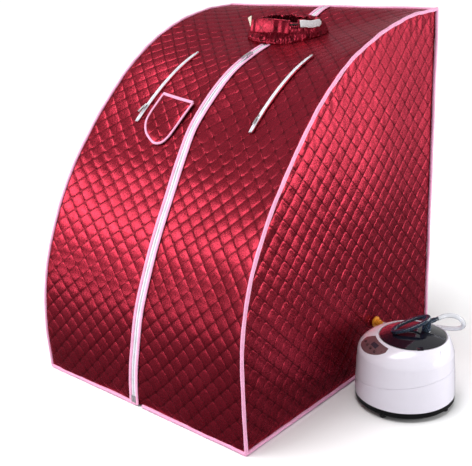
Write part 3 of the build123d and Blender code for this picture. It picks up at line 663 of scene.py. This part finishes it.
def make_sliders():
    """The sliders keep their CAD shape and are laid on the cloth beside the CAD place."""
    for node, (body, ((x0, y0), (x1, y1))) in SLIDERS.items():
        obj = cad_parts[node]
        mesh = obj.data.copy()
        mesh.transform(obj.matrix_world)
        place = np.empty(len(mesh.vertices) * 3)
        mesh.vertices.foreach_get("co", place)
        place = place.reshape(-1, 3)
        centre = (place.min(0) + place.max(0)) / 2
        if node != "main_zip_pull":   # the pull moves as the main slider before it did
            x = x0 + (x1 - x0) * (centre[1] - y0) / (y1 - y0)
            target, n = on_cloth(np.array([x]), np.array([f_of(x, centre[1])]), 0.0)
            depth = ((place - target[0]) @ n[0]).min()
            down = n[0][2] * (depth - SLIDER_LIFT) / max(n[0][2], .4)
            shift = np.array((target[0][0] - centre[0], 0, -down))
        mesh.vertices.foreach_set("co", (place + shift).ravel())
        piece = bpy.data.objects.new(node + "_laid", mesh)
        bpy.context.scene.collection.objects.link(piece)
        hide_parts(node)
        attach(dress(piece, NICKEL), body)


# ---------------------------------------------------------------- pocket
def make_pocket():
    """A patch pocket with a rounded foot and a bound edge, lying on the cover."""
    top_l, top_r = (-.1855, -.0835), (-.0545, -.0935)
    # outline in (x, y) on the cover, from the top right round the foot
    outline = [top_r, (-.0640, -.122), (-.0735, -.148), (-.0850, -.170), (-.1020, -.1835), (-.1260, -.1870),
               (-.1500, -.1815), (-.1760, -.1700), (-.1920, -.152), (-.1935, -.132), (-.1895, -.108), top_l]
    pts = smooth_table(outline, (len(outline) - 1) * 12 + 1)
    top = np.linspace(top_l, top_r, 40)
    ring = np.concatenate([pts, top[1:-1]])
    centre = ring.mean(0)
    rings, uv = [], []
    shares = np.linspace(0, 1, 22)
    for s in shares:
        q = centre + (ring - centre) * s
        f = np.array([f_of(a, b) for a, b in q])
        lift = .0075 + .0035 * (1 - s ** 4)
        p, n = on_cloth(q[:, 0], f, lift)
        q_u, q_v = q[:, 0], f * BOW_LENGTH
        p = p + n * (quilt(q_u, q_v, .45) * np.clip((1 - s) * 6, 0, 1))[:, None]
        rings.append(p)
        uv.append(np.stack([q_u, q_v], -1))
    m = len(ring)
    verts = np.concatenate(rings)
    faces = []
    for i in range(len(shares) - 1):
        for k in range(m):
            j = (k + 1) % m
            faces.append([i * m + k, i * m + j, (i + 1) * m + j, (i + 1) * m + k])
    obj = mesh_object("pocket_cloth", verts, faces, np.concatenate(uv))
    clean(obj)
    solid = obj.modifiers.new("thickness", "SOLIDIFY")
    solid.thickness, solid.offset = .0012, -1
    bpy.context.view_layer.objects.active = obj
    bpy.ops.object.modifier_apply(modifier="thickness")
    dress(obj, SATIN)
    f = np.array([f_of(a, b) for a, b in pts])
    p, n = on_cloth(pts[:, 0], f, .0070)
    low = ribbon("pocket_binding_sides", p, n, .0068, .0034)
    f = np.array([f_of(a, b) for a, b in top])
    p, n = on_cloth(top[:, 0], f, .0078)
    high = ribbon("pocket_binding_top", p, n, .0090, .0040)
    for piece in (low, high):
        dress(piece, PINK)
    for piece in (obj, low, high):
        fold(piece)
    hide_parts("pocket")
    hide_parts("pocket_binding")


# ---------------------------------------------------------------- piping
def make_piping():
    """Pink cord along the arcs, the rear corners, the rear top edge and the hem."""
    for side in (-1, 1):
        name = "right" if side > 0 else "left"
        table = RIGHT if side > 0 else LEFT
        f = np.linspace(.004, 1, 260)
        yz = table_at(table, f)
        wob = .0006 * np.sin(f * 63 + side) + .0005 * np.sin(f * 151)
        path = np.stack([np.full(260, side * PIPE_X), yz[:, 0], yz[:, 1] + wob], -1)
        arc = tube(f"front_piping_{name}", path, PIPE_R * (1 + .05 * np.sin(f * 97)), 14)
        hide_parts(f"side_piping_{name}")
        bars = [arc]
        z = np.linspace(.008, .972, 120)
        post = np.stack([side * PIPE_X + .0006 * np.sin(z * 30), .4312 + .0006 * np.sin(z * 23 + 1), z], -1)
        bars.append(tube(f"rear_piping_{name}", post, PIPE_R, 14))
        y = np.linspace(-.43, .43, 110)
        low = np.stack([side * PIPE_X + 0 * y, y, .0062 + .0008 * np.sin(y * 37) ** 2], -1)
        bars.append(tube(f"side_hem_{name}", low, PIPE_R, 14))
        for bar in bars:
            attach(dress(bar, PINK), "tent")
        x = np.linspace(COVER_EDGE - .001, PIPE_X, 70) * side
        p, _ = on_cloth(np.clip(x, -HALF, HALF), np.full(70, .0048), .0010)
        p[:, 0] = x
        p[:, 2] = .0058 + .0006 * np.sin(x * 45)
        hem = tube(f"front_hem_{name}", p, HEM_R, 14)
        dress(hem, PINK)
        fold(hem)
    x = np.linspace(-PIPE_X, PIPE_X, 110)
    top = np.stack([x, .4318 + 0 * x, .9755 + .0008 * np.sin(x * 29)], -1)
    low = np.stack([x, .4312 + 0 * x, .0062 + 0 * x], -1)
    top = tube("rear_top_piping", top, PIPE_R, 14)
    for bar in (top, tube("rear_hem", low, PIPE_R, 14)):
        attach(dress(bar, PINK), "tent")
    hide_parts("edge_piping")


# ---------------------------------------------------------------- neck collar
def make_collar():
    """The crumpled, level-topped band of satin around the neck opening."""
    cx, cy, a, b = NECK
    nt, ns = 520, 60
    theta = np.linspace(0, 2 * math.pi, nt, endpoint=False)
    phi = np.linspace(0, 2 * math.pi, ns, endpoint=False)
    T, S = np.meshgrid(theta, phi, indexing="ij")
    ring = np.stack([np.cos(T), np.sin(T)], -1)
    lump = noise_grid(np.stack([ring[..., 0] * 3, ring[..., 1] * 3, S * .5], -1), 1.2, 31)
    fold_ = noise_grid(np.stack([ring[..., 0] * 8, ring[..., 1] * 8, np.cos(S) * 1.3], -1), 1.3, 33)
    crease = noise_grid(np.stack([ring[..., 0] * 16, ring[..., 1] * 16, np.sin(S) * 2.6], -1), 1.5, 35)
    gather = np.sin(T * 23 + 2.3 * np.sin(T * 3) + S) * .35 + np.sin(T * 41 + 1.1 - 2 * S) * .2
    # section: a flat-sided band, from the cloth up to one level, leaning inwards at the top
    side, rise = np.cos(S), np.sin(S)
    side = np.sign(side) * np.abs(side) ** .75
    rise = np.sign(rise) * np.abs(rise) ** .62
    a = a - .009 * (1 - ring[..., 0])
    mid_x, mid_y = cx + (a + .010) * ring[..., 0], cy + (b + .010) * ring[..., 1]
    f_mid = np.interp(mid_y, MIDDLE_Y, MIDDLE_F)
    foot = cloth(np.clip(mid_x, -HALF, HALF), f_mid)[..., 2] - .002
    top = .959 + .006 * ring[..., 1] + .004 * lump + .0022 * gather
    z = (foot + top) / 2 + rise * (top - foot) / 2
    share = (rise + 1) / 2
    half = (.0125 - .0035 * share) * (1 + .25 * lump) * (1 + .10 * gather + .22 * fold_)
    lean = -.026 * share ** 1.3 * (1 + .3 * lump)
    rx = a + .010 + side * half + lean * .8 + .0032 * crease
    ry = b + .010 + side * half + lean * (1 - .25 * ring[..., 1]) + .0032 * crease
    x = cx + rx * ring[..., 0]
    y = cy + ry * ring[..., 1]
    p = np.stack([x, y, z + .0015 * crease], -1)
    faces = []
    for i in range(nt):
        for k in range(ns):
            j, m = (i + 1) % nt, (k + 1) % ns
            faces.append([i * ns + k, j * ns + k, j * ns + m, i * ns + m])
    uv = np.stack([T * .13, S * .02], -1)
    obj = mesh_object("neck_collar_cloth", p.reshape(-1, 3), faces, uv.reshape(-1, 2))
    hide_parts("neck_collar")
    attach(dress(obj, SATIN_PLAIN), "tent")


def make_strap():
    """The strap over the collar's right front, with its hook tape; its ends follow the collar."""
    lo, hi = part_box("collar_strap")
    start, end = np.array((lo[0], lo[1])), np.array((hi[0], hi[1]))
    away = np.array((end - start)[::-1] * (1, -1), float)
    away /= np.linalg.norm(away)
    t = np.linspace(0, 1, 60)
    z = (lo[2] + hi[2]) / 2
    bend = .004 * (1 - (2 * t - 1) ** 2)
    plan = start + np.outer(t, end - start) + np.outer(bend - .002, away)
    path = np.column_stack([plan, z + .0012 * np.sin(t * 9)])
    out = np.tile((*away, .18), (60, 1))
    out /= np.linalg.norm(out, axis=1, keepdims=True)
    width = .024 * (1 - .10 * np.sin(t * 3) ** 2)
    strap = ribbon("closing_strap", path, out, width, .0018, FLAT_BAND)
    dress(strap, SATIN_PLAIN)
    inner = (t > .06) & (t < .97)
    tape_width = .0195 * np.clip((1 - t[inner]) / .10, .45, 1)
    on_strap = path[inner] + out[inner] * .0019
    tape = ribbon("closing_hook_tape", on_strap, out[inner], tape_width, .0012, FLAT_BAND)
    dress(tape, HOOK)
    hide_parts("collar_strap")
    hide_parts("hook_patch")
    for piece in (strap, tape):
        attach(piece, "collar_strap")
    band_t = np.linspace(math.radians(-58), math.radians(-112), 120)
    a, b = NECK[2] + .0265, NECK[3] + .0265
    ripple = .0010 * np.sin(band_t * 17) + .0006 * np.sin(band_t * 41)
    plan = np.stack([(a + ripple) * np.cos(band_t), NECK[1] + (b + ripple) * np.sin(band_t)], -1)
    out = np.stack([np.cos(band_t) / a, np.sin(band_t) / b, 0 * band_t], -1)
    out = out / np.linalg.norm(out, axis=1, keepdims=True) + (0, 0, .25)
    out /= np.linalg.norm(out, axis=1, keepdims=True)
    path = np.column_stack([plan, .9445 + .0035 * np.sin(band_t * 3.1)])
    width, height = .040 + .002 * np.sin(band_t * 7), .0025 + .0006 * np.sin(band_t * 31)
    band = ribbon("closing_flap", path, out, width, height, FLAT_BAND)
    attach(dress(band, SATIN_PLAIN), "tent")
    t = np.linspace(0, 1, 12)
    tip = np.stack([-.1200 - .014 * t, .226 + .010 * t, .928 + .032 * t], -1)
    tag_out = np.tile((-.25, -.90, .30), (12, 1))
    tag = ribbon("strap_tag", tip, tag_out, .015 * np.linspace(.25, 1.15, 12), .0014, FLAT_BAND)
    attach(dress(tag, TAG), "tent")


def make_rods():
    """The two bowed rods inside the cover's edges, each with two joining sleeves."""
    for side in (-1, 1):
        name = "right" if side > 0 else "left"
        table = RIGHT if side > 0 else LEFT
        yz = table_at(table, np.linspace(.016, .985, 220))
        along = np.gradient(yz, axis=0)
        along /= np.linalg.norm(along, axis=1, keepdims=True)
        inner = yz + np.stack([along[:, 1], -along[:, 0]], -1) * .020
        rod = tube(f"bow_rod_{name}_bent", np.column_stack([np.full(220, side * ROD_X), inner]), .004, 12)
        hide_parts(f"bow_rod_{name}")
        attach(dress(rod, RODS), "tent")
        for k, z in enumerate((.52, .86)):
            i = int(np.argmin(np.abs(inner[:, 1] - z)))
            part = np.column_stack([np.full(9, side * ROD_X), inner[i - 4:i + 5]])
            radius = .0058 - .0004 * np.abs(np.linspace(-1, 1, 9)) ** 3
            sleeve = tube(f"bow_sleeve_{name}_{k}", part, radius, 16)
            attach(dress(sleeve, ALU), "tent")
            if side > 0 and k == 0:
                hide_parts("bow_ferrules")


def make_all():
    for side in (-1, 1):
        make_cover(side)
        make_side(side)
    make_rear()
    make_floor_mat()
    make_main_zip()
    make_arm_zips()
    make_sliders()
    make_pocket()
    make_piping()
    make_collar()
    make_strap()
    make_rods()


make_all()

# ---------------------------------------------------------------- CAD pieces that keep their shape
def paint(node, mat):
    """Puts mat on every slot of a CAD node."""
    for material_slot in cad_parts[node].material_slots:
        material_slot.material = mat


for node, mat in {
    "neck_drawcord": CORD,
    "floor_tube_front": RODS, "floor_tube_rear": RODS, "floor_tube_left": RODS, "floor_tube_right": RODS,
    "rear_post_left": RODS, "rear_post_right": RODS, "top_tube_rear": RODS,
    "corner_connectors": MATT_BLACK, "inlet_fitting": ORANGE, "inlet_nut": ORANGE,
    "steamer_base": BLACK, "steamer_feet": MATT_BLACK, "steamer_housing": WHITE, "control_panel": PANEL,
    "display_window": SCREEN, "water_tank": ALU, "heater": ALU, "control_board": BOARD,
    "power_inlet": MATT_BLACK, "base_screws": NICKEL, "steam_lid": LID, "lid_seal": SEAL, "lid_handle": BLUE, "outlet_barb": BLUE,
    "power_button": BUTTON, "time_button": BUTTON, "temperature_button": BUTTON, "timer_button": BUTTON,
}.items():
    paint(node, mat)

# ---------------------------------------------------------------- hose
HOSE_ROUTE = ((.597, .093, .228), (.606, .1179, .2301), (.624, .1365, .2264), (.636, .155, .209),
              (.633, .172, .1856), (.6135, .184, .1674), (.579, .188, .156), (.538, .191, .149),
              (.499, .181, .145), (.467, .154, .146), (.435, .134, .142), (.408, .134, .142))
HOSE_R = 0.006
centre = np.array(HOSE_ROUTE)
for _ in range(4):
    near, far = centre[:-1], centre[1:]
    cut = np.stack([near * .75 + far * .25, near * .25 + far * .75], 1).reshape(-1, 3)
    centre = np.vstack([centre[:1], cut[1:-1], centre[-1:]])
hose = tube("steam_hose_tube", centre, HOSE_R, 18)
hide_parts("steam_hose")
dress(hose, HOSE)
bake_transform(hose)

# ---------------------------------------------------------------- floor, light and camera
bpy.ops.mesh.primitive_plane_add(size=160, location=(0, 0, -.0002))
floor = bpy.context.object
floor.name = "studio_floor"
mat, tree, shader = nodes_of("studio_floor")
shader.inputs["Base Color"].default_value = (.95, .95, .96, 1)
shader.inputs["Roughness"].default_value = .8
floor.data.materials.append(mat)
floor.visible_glossy = False

world = bpy.data.worlds.new("studio")
bpy.context.scene.world = world
world.use_nodes = True
sky = world.node_tree
where = add(sky, "ShaderNodeTexCoord").outputs["Generated"]
height = add(sky, "ShaderNodeSeparateXYZ", {0: where}).outputs[2]
level = add(sky, "ShaderNodeMapRange",
            {"Value": height, "From Min": -.6, "From Max": .1, "To Min": .07, "To Max": .38})
sky.links.new(level.outputs["Result"], sky.nodes["Background"].inputs["Strength"])
sky.nodes["Background"].inputs["Color"].default_value = (1, 1, 1, 1)
bpy.context.scene.view_settings.view_transform = "Standard"


def softbox(name, place, aim, size, power, colour=(1, 1, 1)):
    light = bpy.data.lights.new(name, "AREA")
    light.shape = "RECTANGLE"
    light.size, light.size_y = size
    light.energy, light.color = power, colour
    obj = bpy.data.objects.new(name, light)
    bpy.context.scene.collection.objects.link(obj)
    obj.location = place
    obj.rotation_euler = (Vector(aim) - Vector(place)).to_track_quat("-Z", "Y").to_euler()
    return obj


sun = bpy.data.lights.new("overhead", "SUN")
sun.energy, sun.angle = 2.6, math.radians(40)
sun_object = bpy.data.objects.new("overhead", sun)
bpy.context.scene.collection.objects.link(sun_object)
sun_object.rotation_euler = (math.radians(12), math.radians(-8), 0)
softbox("key_front", (-2.0, -2.5, 1.78), (0, -.25, .6), (2.6, .80), 47)
softbox("key_right", (3.3, 2.6, .8), (.3, 0, .4), (2.8, 2.4), 62)
softbox("low_front", (-1.6, -3.2, .35), (0, -.4, .15), (2.2, .35), 13)
softbox("low_right", (2.2, .9, .25), (.38, -.2, .15), (1.4, .35), 12)

camera_data = bpy.data.cameras.new("camera")
camera = bpy.data.objects.new("camera", camera_data)
bpy.context.scene.collection.objects.link(camera)
azimuth, elevation, roll = math.radians(42.01), math.radians(19.57), math.radians(-2.49)
level_back = np.array((math.sin(azimuth), -math.cos(azimuth), 0))
back = level_back * math.cos(elevation) + np.array((0, 0, math.sin(elevation)))
right = np.cross(-back, (0, 0, 1))
right /= np.linalg.norm(right)
up = np.cross(right, -back)
right, up = math.cos(roll) * right + math.sin(roll) * up, -math.sin(roll) * right + math.cos(roll) * up
camera.matrix_world = Matrix(((right[0], up[0], back[0], 1.534), (right[1], up[1], back[1], -1.714),
                              (right[2], up[2], back[2], 1.175), (0, 0, 0, 1)))
camera_data.sensor_width = 36
camera_data.lens = 63.64
camera_data.shift_x, camera_data.shift_y = -.003, .010
bpy.context.scene.camera = camera
